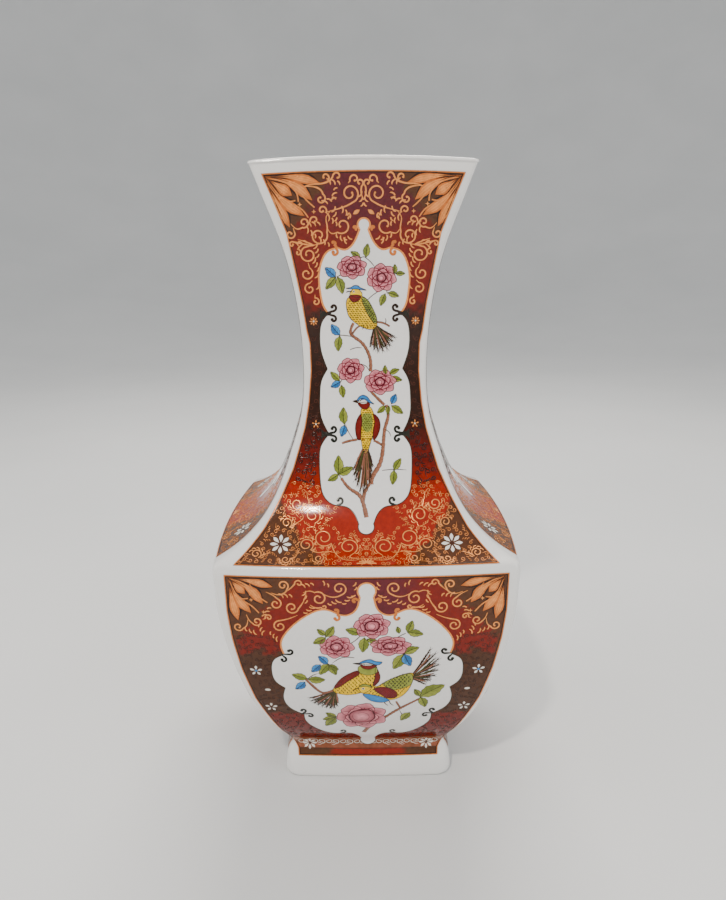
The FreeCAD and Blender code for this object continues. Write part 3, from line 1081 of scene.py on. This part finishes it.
def draw_neck():
    """Everything on the neck panel except its picture."""
    panel_base("neck", neck_ground_colour, 1.6, NECK_LOBES, NECK_TOP_KNOB, NECK_LOW_KNOB)
    curls("neck", [
        ("gold", (-14.6, 177.4), -15.4, 174.6, 1.9, 60, -250),
        ("gold", (-13.6, 177.2), -15.8, 179.4, 1.3, -60, 160),
        ("gold", (-3.6, 185.4), -4.6, 187, 0.9, -60, 200),
        ("sepia", (-21, 142.9), -16.8, 146, 1.9, -80, 240),
        ("sepia", (-20.6, 142.5), -16.9, 139.6, 1.8, 80, -240),
        # The next hooks are gold painted near-black, a painted dark reflection.
        ("bronze", (-22, 76.7), -17.9, 79.4, 1.9, -80, 240),
        ("bronze", (-22, 76.4), -17.8, 73.6, 1.9, 80, -240),
        ("bronze", (-16.6, 37.6), -14.6, 40.4, 2.1, -90, 260),
    ])
    # Wedges at the lower cusps: gold painted near-black, a painted dark reflection.
    for x, y in ((-22, 142.6), (-22.6, 76.5)):
        wedge = np.array([(x - 1.8, y + 3), (x - 0.2, y + 1.4), (x + 4.2, y + 0.9), (x + 4.2, y - 0.9),
                          (x - 0.2, y - 1.4), (x - 1.8, y - 3)])
        twin_blob("neck", "bronze", wedge, THIN_LIFT, 0.4, 0.4)
    corner_spray("neck", (-48.6, 212.4),
                 [((-21.4, 208.4), 0.16, 0.04), ((-25.5, 200.4), 0.21, 0.10), ((-35.6, 203), 0.34, 0),
                  ((-29.8, 193), 0.20, -0.08), ((-37.6, 187.6), 0.19, -0.02)],
                 [[(-47, 211.4), (-37.8, 208.8), (-33, 203.4), (-32.6, 200)],
                  [(-47.2, 209.6), (-43.2, 203.8), (-38.6, 200.4), (-34, 200.6)],
                  [(-33.6, 207.4), (-29.2, 201.4), (-24.6, 197)],
                  [(-36.6, 199.4), (-31, 196.2), (-28, 192.2)]],
                 [(-32, 198.6), (-25.1, 195)])
    vines("neck", NECK_SCROLLS, NECK_COMBS)
    bud, _ = leaf_outline((-5.4, 193.4), (-2, 195.6), 0.5)
    twin_blob("neck", "gold", bud, LEAF_LIFT, 1, 0.7, 0.05)
    comb("neck", "gold", -6.4, 193.4, 200, 2.4, 2)
    for lead, x, y, r, start, sweep in SHOULDER_SCROLLS:
        scroll("neck", "gold", lead, x, y, r, start, sweep * 1.2, 0.55, 0.95)
        way = math.copysign(1, sweep)
        for k in range(6):
            a = start + sweep * (0.02 + 0.09 * k)
            reach = r * (1.02 - 0.04 * k)
            place = (x + reach * math.cos(math.radians(a)), y + reach * math.sin(math.radians(a)))
            comma("neck", "gold", *place, a + 20 * way, 2.6, 110 * way, 0.5, 1)
    for angle, length in ((90, 3.4), (45, 3.6), (20, 4.4), (65, 3.4)):
        comma("neck", "gold", -0.2, 2.6, 180 - angle, length, 30, 0.8, 1)
    blossom("neck", -45.6, 15, 5.8, 8, "umber")
    stops = [(x, y, r) for _, x, y, r, _, _ in SHOULDER_SCROLLS] + [(-45.6, 15, 5.6), (-11, 29, 6.5)]
    for y, petals in ((138.5, 8), (82, 5)):
        blossom("neck", -27.4, y, 2.3, petals, "white", 0.4, "gold")
    filigree("neck", "gold", 2.6, 50, 2.5, 2.3, 0.30, 0.6, stops)
    filigree("neck", "umber", 48, 84, 2.9, 2.9, 0.5, 0)
    filigree("neck", "bark", 84, 144, 3, 2.8, 0.36, 0)


def picture(panel, limbs, twigs, twig_width, leaves, fat, blue_leaves, roses):
    """Rose branches of one reserve, from the back to the front."""
    for points, thick, thin in limbs:
        limb(panel, points, thick, thin)
    for points in twigs:
        twig(panel, points, twig_width)
    for base, tip in leaves:
        leaf(panel, "green", base, tip, fat, LEAF_LIFT, "sap")
    for base, tip in blue_leaves:
        leaf(panel, "blue", base, tip, 0.6, ROSE_LIFT, "sepia")
    for rose_row in roses:
        rose(panel, *rose_row)


# Limbs: points, thickness at their two ends. Leaves: base, tip.
# Roses: middle, half width, half height, turn and cup.
NECK_LIMBS = [
    ([(13.5, 135.5), (11, 137), (6, 138), (-0.5, 137), (-4.5, 134.5), (-7, 131)], 0.9, 0.8),
    ([(-6, 137.5), (-7.5, 132), (-3, 128), (1, 123), (3, 117), (3, 111)], 1.3, 1.7),
    ([(2.6, 100.5), (6.5, 96.5), (10.6, 92.5)], 1.2, 1.4),
    ([
        (11.6, 92.5), (12.6, 86.5), (11, 80.5), (10, 73.5), (9, 64.5), (7, 58.5), (3.5, 52.5), (3, 49),
    ], 1.4, 2.2),
    ([(-13, 71.5), (-10, 72.5), (-4.5, 73.5)], 1, 1.2),
    ([(4.5, 73), (6.5, 72), (9.5, 70)], 1, 1.2),
    ([(-13.5, 52.5), (-8.5, 46.5), (-3.5, 43), (-1.6, 39), (0.2, 31)], 1.2, 2.4),
    ([(2.6, 50), (-0.5, 45), (-1.8, 40)], 1.3, 2),
]
NECK_TWIGS = [
    [(0.5, 172), (3, 170), (5.5, 167)], [(-14.5, 162), (-12.5, 163), (-11, 164.5)],
    [(11, 137), (11.5, 138.5), (11, 140)], [(7, 154), (4, 152), (1, 149)],
    [(-13.5, 131), (-8.5, 130.5), (-6, 130)], [(-8, 123), (-5, 124), (-1.5, 124)],
    [(-4, 115.5), (1, 113.5), (2.5, 111)], [(-13.5, 105.2), (-11.8, 107.4), (-10, 108.4)],
    [(10.6, 158), (11.6, 155.4), (12.2, 152.6)], [(-2, 171.6), (0, 172.2), (1, 171.8)],
    [(-15, 54.6), (-14.2, 53.4), (-13.2, 52.2)], [(-7, 74), (-9.5, 78), (-11, 82)],
    [(9, 56.5), (16, 57), (22.5, 56.5)], [(10.5, 79), (13, 77.5), (14, 75)],
]
NECK_LEAVES = [
    ((-2, 172), (-7, 175)), ((1, 172), (2, 179)), ((16, 163.5), (16, 168.5)),
    ((16.5, 163.5), (21.5, 163.5)), ((11, 153), (8.5, 146.5)), ((12.5, 153.5), (18.5, 151.5)),
    ((-15, 162), (-20.5, 155.5)), ((-14, 162), (-11.5, 153)), ((-13.5, 130.5), (-14.5, 122)),
    ((11.5, 109.5), (11, 114.5)), ((13.5, 109.5), (19, 112)), ((14.5, 108), (20.5, 106)),
    ((-14, 106), (-19, 111)), ((-13, 103.5), (-12, 96.5)), ((-11.5, 82), (-12, 91.5)),
    ((11, 92), (6.5, 88)), ((13, 92), (12.5, 87)), ((14.5, 92), (21, 87.5)), ((-15, 54.5), (-15, 65)),
    ((-15, 54.5), (-7, 58.5)), ((-15, 54.5), (-21, 51)), ((15.5, 56.5), (19.5, 63)),
    ((15.5, 56.5), (14.5, 48.5)),
]
NECK_BLUE_LEAVES = [
    ((-15, 162), (-20.5, 167)), ((-13.5, 131), (-18, 137)), ((-13.5, 105.5), (-19, 102.5)),
    ((-11.5, 81.5), (-13.5, 75)), ((14.5, 93), (17, 98.5)),
]
NECK_ROSES = [
    (-6.4, 167, 7.6, 5.9, 0.3),
    (9, 161.4, 7.8, 7.2, 0.8),
    (-7.8, 111.8, 7.2, 6.8, 0.2),
    (8.2, 105.2, 8.8, 6.8, 1.1),
]


def neck_picture():
    """Birds on rose branches, painted on the neck reserve."""
    picture("neck", NECK_LIMBS, NECK_TWIGS, 0.42, NECK_LEAVES, 0.5, NECK_BLUE_LEAVES, NECK_ROSES)
    upper_bird()
    lower_bird()


# Parts of the birds: pigment, lift, inner and outer tone, whether it has a dark edge, outline,
# and feather marks (pigment, lift, spacing, angle, tone).
UPPER_BIRD = [
    ("yellow", 0.28, 0.9, 0.55, True, [
        (-7.5, 151.5), (-9.5, 149.5), (-9.5, 145), (-8, 140.5), (-3.5, 136.5), (0.5, 134.5), (4, 134),
        (6.5, 136), (6.5, 140), (5, 144), (2, 149.5), (-2, 152),
    ], ("sepia", 0.31, 1.1, 250, 0.25)),
    ("green", 0.305, 0.35, 0.8, True, [
        (-1.5, 151), (2, 149.5), (5, 144), (6.5, 140), (6, 137), (3.4, 139.5), (0.4, 145),
    ], ("sap", 0.33, 1, 300, 0.25)),
    ("yellow", 0.3, 0.9, 0.8, True, [
        (-7.5, 152.5), (-7, 154.5), (-5, 156.2), (-2.5, 155), (-1.2, 152.5), (-4, 151),
    ]),
    ("maroon", 0.315, 0.9, 0.5, True, [
        (-8, 152), (-5, 152.6), (-2, 152), (-2.5, 150), (-5.5, 148.5), (-7.5, 150),
    ]),
    ("blue", 0.325, 0.8, 0.4, True, [
        (-9.6, 156), (-7.2, 156.5), (-5.4, 157.5), (-3.4, 157.4), (-2, 156.3), (1, 155), (-2.4, 155.4),
        (-6, 155.7),
    ]),
]


def upper_bird():
    """Yellow and green bird at the top of the neck picture."""
    bird("neck", (5.5, 136.5), [
        (3, 124.5), (7, 122), (11.5, 122.5), (15, 127), (16.5, 129.5),
    ], UPPER_BIRD)
    stroke("neck", "sepia", bend([(-6.5, 154.2), (-8.4, 154.4), (-9.8, 153.8)], 5), 0.5, 0.33, (1, 0.2), 0.4)
    eye("neck", -5.6, 154.4, 0.4)
    for x in (-1, 1.2):
        stroke("neck", "sepia", bend([(x, 136.5), (x + 0.4, 135), (x - 0.4, 134)], 4), 0.4, 0.34)


LOWER_BIRD = [
    ("yellow", 0.28, 0.95, 0.55, True, [
        (-2, 90.5), (-2.6, 85.5), (-3, 79), (-2.5, 73.5), (-1.5, 68), (0, 65.5), (1.6, 68), (3, 72.5),
        (4.5, 77), (5.5, 84), (4.5, 88), (2.5, 91.5),
    ], ("sepia", 0.31, 1.05, 270, 0.25)),
    ("green", 0.292, 0.5, 0.9, False, [(-1.6, 87), (1, 88), (3.6, 87), (3.8, 80), (1, 77.5), (-1.6, 80)]),
    ("maroon", 0.315, 0.9, 0.3, True, [
        (-2.4, 87.5), (-4.6, 84.5), (-5.6, 79.5), (-4.6, 74), (-2.8, 73.6), (-2.4, 78), (-1.9, 83),
    ]),
    ("maroon", 0.315, 0.9, 0.3, True, [
        (4.4, 87.6), (7.4, 85), (8.2, 80.5), (6.6, 75.4), (4.4, 73.2), (4.2, 78), (5, 83),
    ]),
    ("maroon", 0.32, 0.9, 0.5, True, [
        (-4, 93.4), (-1.5, 94), (1.5, 94), (2.6, 92.6), (0.8, 90.2), (-2, 90.8),
    ]),
    ("white", 0.322, 0.6, 0.8, True, [(-3.6, 94.6), (-1, 96), (1.6, 95), (0.6, 93.4), (-2, 93.2)]),
    ("blue", 0.33, 0.8, 0.4, True, [
        (-4.6, 94.6), (-3.6, 96.8), (-1.5, 98), (1, 97.2), (3, 94.6), (4.8, 93), (1.6, 94.2),
        (-1.4, 96.2),
    ]),
    ("sepia", 0.33, 0.4, 0.6, False, [(-7, 94.6), (-4.6, 95.4), (-4, 93.6)]),
]


def lower_bird():
    """Bird with maroon wings in the lower half of the neck picture."""
    bird("neck", (0, 71), [
        (-7, 57), (-6, 51.5), (-4.4, 47.5), (-2.5, 44), (0.5, 46.5), (2.4, 52), (3.8, 58.5),
    ], LOWER_BIRD)
    for side in (-1.6, -0.6, 0.5, 1.5):
        quill = bend([(side * 0.4, 68), (side, 58), (side * 1.4 - 0.6, 48)])
        stroke("neck", "bark", quill, 0.7, TAIL_LIFT + 0.005, (1, 0.3), 0.5)
    eye("neck", -2.6, 95, 0.4)
    for x in (-1.2, 3):
        stroke("neck", "maroon", bend([(x - 0.8, 74.2), (x, 73.2), (x + 0.8, 74.2)], 5), 0.5, 0.34)


def draw_belly():
    """Everything on the belly panel except its picture."""
    panel_base("belly", belly_ground_colour, 1.9, BELLY_LOBES, BELLY_TOP_KNOB, BELLY_LOW_KNOB)
    curls("belly", [
        ("gold", (-14.6, -25.8), -16.2, -28.2, 2, 70, -230),
        ("gold", (-14.8, -26.4), -16.2, -23.6, 1.4, -60, 160),
        ("gold", (-4, -17), -6.4, -18, 1.5, 20, 220),
        # The lower hooks are gold painted near-black, a painted dark reflection.
        ("bronze", (-46.2, -52.2), -41.8, -50.2, 2, -110, 250),
        ("bronze", (-46.2, -52.4), -45.6, -56, 1.9, 60, -240),
        ("bronze", (-37.8, -99.8), -37, -96.6, 1.9, -70, 250),
        ("bronze", (-37.4, -99.8), -33, -101.4, 1.9, 110, -250),
        ("bronze", (-17.2, -121.6), -14.8, -118.2, 2, -90, 260),
    ])
    corner_spray("belly", (-72.2, -5.8),
                 [((-48.8, -10.4), 0.19, 0.03), ((-54.4, -20.4), 0.25, 0.10), ((-63.8, -14.8), 0.40, 0),
                  ((-61, -26), 0.23, -0.08), ((-68.2, -30.8), 0.20, -0.02)],
                 [[(-70.6, -6.6), (-64.6, -8.6), (-60.6, -12.6), (-61.2, -15.6)],
                  [(-71.2, -8), (-69.4, -13.6), (-66, -17.6), (-62.2, -17.4)],
                  [(-61, -9), (-56.2, -16.4), (-52, -19.6)],
                  [(-65.6, -18.6), (-60.4, -21.8), (-56.8, -25.8)]],
                 [(-60.6, -18.2), (-54.4, -25.1)])
    vines("belly", BELLY_SCROLLS, BELLY_COMBS)
    blossom("belly", -61, -64.7, 3.6, 5, "blue", 0.5)
    blossom("belly", -54.7, -94, 3.6, 5, "umber", 0.5)
    turn = np.linspace(0, 6, 12)
    oval = np.stack([1.6 * np.cos(turn) - 55.6, 0.9 * np.sin(turn) - 79.2], axis=1)
    twin_blob("belly", "white", oval, LEAF_LIFT, 0.9, 0.6, 0.05)
    flowers = [(-61, -64.7, 3.6), (-54.7, -94, 3.6), (-55.6, -79.2, 1.6)]
    filigree("belly", "umber", -126.5, -40, 2.5, 2.3, 0.36, 0.35, flowers)
    foot_border()


def foot_border():
    """Pale scroll band just above the foot, between two thin lines."""
    for k in range(9):
        x = -40.5 + 4.2 * k
        way = 1 if k % 2 else -1
        lead = [(x - 2.6, STRIP_MIDDLE - way * 2.6), (x - 1, STRIP_MIDDLE - way * 3)]
        scroll("belly", "white", lead, x, -132.9, 2.3, -90 * way, way * 400, 0.42, 0.5)
        for side in (-1, 1):
            place = (x + side * 1.9, STRIP_MIDDLE + way)
            comma("belly", "white", *place, 90 * way + 40 * side, 1.9, 70 * side, 0.42, 0.5)
    # The two bars are gold lines painted near-black, a painted dark reflection.
    for up in (-128.2, -138.4):
        reach = float(lookup(BELLY_WIDTH, up)) - 0.8
        inner = 5.0 if up > -130.0 else 0.0
        bar = np.stack([np.linspace(-reach, -inner, 80), np.full(80, up)], axis=1)
        twin_stroke("belly", "bronze", bar, 0.35, THIN_LIFT, FULL, 0.9, 0.02)
    blossom("belly", -35.1, -134.6, 4.4, 8, "umber", 0.4)


BELLY_LIMBS = [
    ([(-34, -70), (-29.5, -76), (-24.5, -80.5), (-18.5, -78)], 1.3, 1.5),
    ([(30, -85.5), (24, -90), (16.5, -96), (9, -103.5), (1.5, -111.5), (-2.5, -120)], 1.2, 2.4),
    ([(16, -88), (17.2, -91), (18.5, -94)], 0.9, 1.2),
]
BELLY_TWIGS = [
    [(-3, -38.5), (-6.5, -42.5), (-10, -45)], [(-7, -54), (-13.5, -54), (-19, -58)],
    [(20.5, -38), (17, -40), (14.5, -42)], [(-33, -70), (-30, -67), (-27, -65.5)],
    [(24, -98.5), (21, -101), (18, -96)], [(-21, -58.5), (-23.4, -62), (-27, -65.5)],
    [(20, -51.8), (17, -50.6), (14, -48)],
]
BELLY_LEAVES = [
    ((-3.5, -38), (-11.5, -35)), ((-1.5, -40.5), (-2.5, -50.5)), ((0, -41.5), (6, -44)),
    ((-22, -39), (-26.5, -35)), ((-22, -40), (-17.5, -33)), ((-22, -40.5), (-29, -44.5)),
    ((21.5, -37.5), (24, -30)), ((21.5, -37.5), (30, -39)), ((17, -38), (16, -33.5)),
    ((20, -51.5), (28, -47.5)), ((19.5, -52), (14, -62.5)), ((-21, -58.5), (-26, -66.5)),
    ((-21, -59), (-15.5, -62.5)), ((-21, -59.5), (-17, -66.5)), ((-33, -69.5), (-41.5, -66.5)),
    ((-32.5, -70), (-23, -70)), ((29.5, -84.5), (43, -75.5)), ((29, -84), (26, -78)),
    ((29.5, -85), (32.5, -94)), ((-18, -102), (-24, -98)), ((-18.5, -103), (-24.5, -112)),
    ((24, -98.5), (19, -106.5)), ((-18.2, -102.4), (-26, -105)),
]
BELLY_BLUE_LEAVES = [
    ((20, -52), (23.5, -60.5)), ((-21.5, -58.5), (-26.5, -53)), ((-25.5, -59), (-30.5, -64.5)),
    ((-34.5, -72), (-40, -78)),
]
BELLY_ROSES = [
    (2.6, -33.2, 9.6, 7.8, 0.3, 0.4),
    (-16.4, -46.8, 9.4, 7.4, 0.9, 0.34),
    (12.4, -46.2, 10.8, 6.4, 0.1, 0.34),
    (-3.4, -101.6, 14.4, 12, 0.5, 0.52),
]


def belly_picture():
    """Two birds among roses, painted on the belly reserve."""
    picture("belly", BELLY_LIMBS, BELLY_TWIGS, 0.5, BELLY_LEAVES, 0.55, BELLY_BLUE_LEAVES, BELLY_ROSES)
    left_bird()
    right_bird()


LEFT_BIRD = [
    ("yellow", 0.28, 0.95, 0.6, True, [
        (-18.5, -76), (-13, -68.5), (-4.5, -63.5), (3, -62.5), (6, -66.5), (5, -73.5), (-3, -80),
        (-11.5, -82), (-18, -80),
    ], ("sepia", 0.312, 1.6, 200, 0.25)),
    ("maroon", 0.32, 0.9, 0.4, True, [
        (-18.5, -76), (-14, -68.5), (-6, -63.3), (-4.6, -66), (-10.5, -71), (-15.5, -75.6),
    ]),
    ("maroon", 0.322, 0.9, 0.4, True, [(4.5, -60.5), (6.8, -66.5), (6.2, -71.5), (3, -75), (4.2, -67.5)]),
    ("green", 0.325, 0.7, 0.95, True, [
        (-4.6, -60.2), (0, -59.6), (4.6, -60), (5.2, -64.5), (0.5, -66.5), (-4.4, -64.5),
    ]),
    ("maroon", 0.332, 1, 0.7, True, [
        (-3.6, -58.8), (1, -58.8), (5.2, -59.6), (1.5, -62.2), (-2.4, -61.4),
    ]),
    ("white", 0.336, 0.8, 0.8, True, [(-3.6, -58.4), (0, -57.4), (3.4, -58.6), (0.2, -59.8)]),
    ("blue", 0.34, 0.9, 0.5, True, [
        (-4.6, -58.2), (-2.5, -56.3), (1.5, -55.2), (4.5, -56.6), (8, -57.2), (6, -59.2), (2.6, -58.4),
        (-1, -57.4),
    ]),
    ("sepia", 0.34, 0.4, 0.6, False, [(-8, -58), (-4.4, -57.6), (-4.2, -59)]),
]


def left_bird():
    """Upright bird of the belly picture."""
    bird("belly", (-17.5, -78.5), [
        (-32.5, -85), (-30.5, -89.5), (-26.5, -92), (-22, -94), (-19, -94), (-16.5, -90.5),
    ], LEFT_BIRD)
    eye("belly", -1.8, -58.6)


RIGHT_BIRD = [
    ("yellow", 0.345, 0.95, 0.6, True, [
        (-5, -76.4), (-1.5, -74), (4.5, -75.5), (10, -71.5), (18, -67), (24.5, -65.5), (25, -70),
        (23, -77.5), (18.5, -84), (12, -86.5), (4.5, -83.5), (-2.5, -80.5),
    ], ("sepia", 0.372, 1.6, 160, 0.25)),
    ("green", 0.375, 0.7, 0.95, True, [
        (8.5, -73), (16, -68), (24, -66), (24, -74), (16, -78), (12, -76.5),
    ], ("sap", 0.392, 1.5, 170, 0.25)),
    ("maroon", 0.385, 0.9, 0.4, True, [
        (3.5, -77), (8.5, -75.6), (13, -77), (16.4, -80.5), (15.5, -84.5), (11, -84.8), (7, -81.5),
    ], ("crimson", 0.402, 1.1, 160, 1)),
    ("blue", 0.38, 0.9, 0.5, True, [(-2.5, -81.3), (4.5, -82.4), (12, -86.3), (8, -88.6), (1.5, -86.8)]),
    ("yellow", 0.39, 1, 0.8, True, [
        (-5, -76.2), (-2.5, -73.4), (1.5, -74.4), (1.6, -77.5), (-2.6, -80.6),
    ]),
    ("green", 0.4, 0.9, 0.8, True, [(-4.6, -75.4), (-2.5, -73.2), (1.5, -74.2), (2.4, -76), (-1, -75)]),
]


def right_bird():
    """Bird that bends down in the belly picture."""
    bird("belly", (23.5, -69), [(34, -49), (38, -54), (39, -60), (37, -68.5), (32, -74.5)], RIGHT_BIRD)
    stroke("belly", "sepia", bend([(-4.6, -76.4), (-6.8, -77.2), (-8.2, -78.6)], 5), 0.7, 0.4, (1, 0.2), 0.4)
    eye("belly", -2.4, -76.8, 0.55)
    for x in (9, 12):
        stroke("belly", "sepia", bend([(x, -87), (x + 1, -90), (x + 2.6, -91.6)], 5), 0.5, 0.3)


def lay_prints(materials):
    """Lays every pigment of both panels on all sides of the vase."""
    for (panel, pigment), drawn in INKS.items():
        flat = np.concatenate(drawn.points)
        front = lay(flat[:, 0], flat[:, 1], np.concatenate(drawn.lifts))
        points = []
        faces = []
        for k in range(4):
            turned = front.copy()
            turned[:, :2] = front[:, :2] @ quarter_turn(k)
            points.append(turned)
            faces += [tuple(i + k * len(front) for i in face) for face in drawn.faces]
        name = f"{panel}_{pigment}"
        piece = make_mesh(name, np.concatenate(points), faces, materials[pigment])
        colours = np.tile(np.column_stack([np.concatenate(drawn.colours), np.ones(len(front))]), (4, 1))
        paint = piece.data.attributes.new("paint", "FLOAT_COLOR", "POINT")
        paint.data.foreach_set("color", colours.astype(np.float32).ravel())
        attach(piece, "root")
        if pigment == "ground":
            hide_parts(*[f"{panel}_transfer_{side}" for side in ("front", "right", "back", "left")])


# ------------------------------------------------------------------ stage, lights, camera
def floor_material():
    material, tree, shader = new_material("floor_paper")
    clouds(tree, shader, (0.70, 0.70, 0.69), (0.75, 0.745, 0.735), 3, 6)
    shader.inputs["Roughness"].default_value = 0.75
    return material


def make_floor():
    """A pale floor that curves up into a low wall all round, so that no horizon shows."""
    reach, bend_radius, wall = 1.8, 3, 4.2
    profile = [(r, 0) for r in (0.001, 0.5, 1, 1.7, reach)]
    for i in range(1, 33):
        a = math.pi / 2 * i / 32
        profile.append((reach + bend_radius * math.sin(a), bend_radius * (1.0 - math.cos(a))))
    profile.append((reach + bend_radius, wall))
    steps = 96
    points = []
    for r, z in profile:
        for k in range(steps):
            a = 2 * math.pi * k / steps
            points.append((r * math.cos(a), r * math.sin(a), z))
    faces = [
        (i * steps + k, i * steps + (k + 1) % steps, (i + 1) * steps + (k + 1) % steps, (i + 1) * steps + k)
        for i in range(len(profile) - 1) for k in range(steps)
    ]
    mesh = bpy.data.meshes.new("floor")
    mesh.from_pydata(points, [], faces)
    floor = add_object("floor", mesh, floor_material())


def soft_light(name, place, target, size, watts, colour):
    """A rectangular lamp aimed at a target."""
    data = bpy.data.lights.new(name, "AREA")
    data.shape = "RECTANGLE"
    data.size, data.size_y = size
    data.energy = watts
    data.color = colour
    lamp = bpy.data.objects.new(name, data)
    lamp.location = place
    lamp.rotation_euler = (Vector(target) - Vector(place)).to_track_quat("-Z", "Y").to_euler()
    bpy.context.collection.objects.link(lamp)


def make_lights():
    """A small warm key light, three large soft lamps and an even grey world."""
    soft_light("key", (-0.28, -0.85, 1.15), (0, 0, 0.2), (0.07, 0.07), 9, (1, 0.93, 0.84))
    soft_light("top", (0.1, 0.8, 1.4), (0, 0, 0.15), (0.8, 0.6), 18, (1, 0.96, 0.90))
    soft_light("fill", (1.1, -0.9, 0.7), (0, 0, 0.15), (0.9, 0.9), 7, (0.93, 0.97, 1))
    soft_light("left", (-1.2, -0.2, 0.6), (0, 0, 0.15), (0.8, 1), 4.5, (0.95, 0.98, 1))
    world = bpy.data.worlds.new("studio")
    world.use_nodes = True
    world.node_tree.nodes["Background"].inputs["Color"].default_value = (0.80, 0.82, 0.84, 1)
    world.node_tree.nodes["Background"].inputs["Strength"].default_value = 0.95
    bpy.context.scene.world = world


def make_camera():
    """The camera of the photo, which looks down a little from in front."""
    data = bpy.data.cameras.new("camera")
    data.sensor_width = 36.0
    data.lens = 29.86
    data.shift_x = -0.0029
    camera = bpy.data.objects.new("camera", data)
    tilt = Matrix.Rotation(math.radians(75.76), 4, "X")
    roll = Matrix.Rotation(math.radians(-0.4575), 4, "Z")
    camera.matrix_world = Matrix.Translation((0, -0.4421, 0.3046)) @ tilt @ roll
    bpy.context.collection.objects.link(camera)
    bpy.context.scene.camera = camera


make_body(
    porcelain_glaze("porcelain", (0.82, 0.80, 0.77), (0.86, 0.84, 0.81), 0.09),
    porcelain_glaze("foot_porcelain", (0.82, 0.805, 0.78), (0.86, 0.845, 0.82), 0.11),
)
draw_neck()
neck_picture()
draw_belly()
belly_picture()
lay_prints({
    name: fired_colour(name, row[2], row[3], 0.02 if name in ("reserve", "white") else 0.16)
    for name, row in PIGMENTS.items()
})
make_floor()
make_lights()
make_camera()
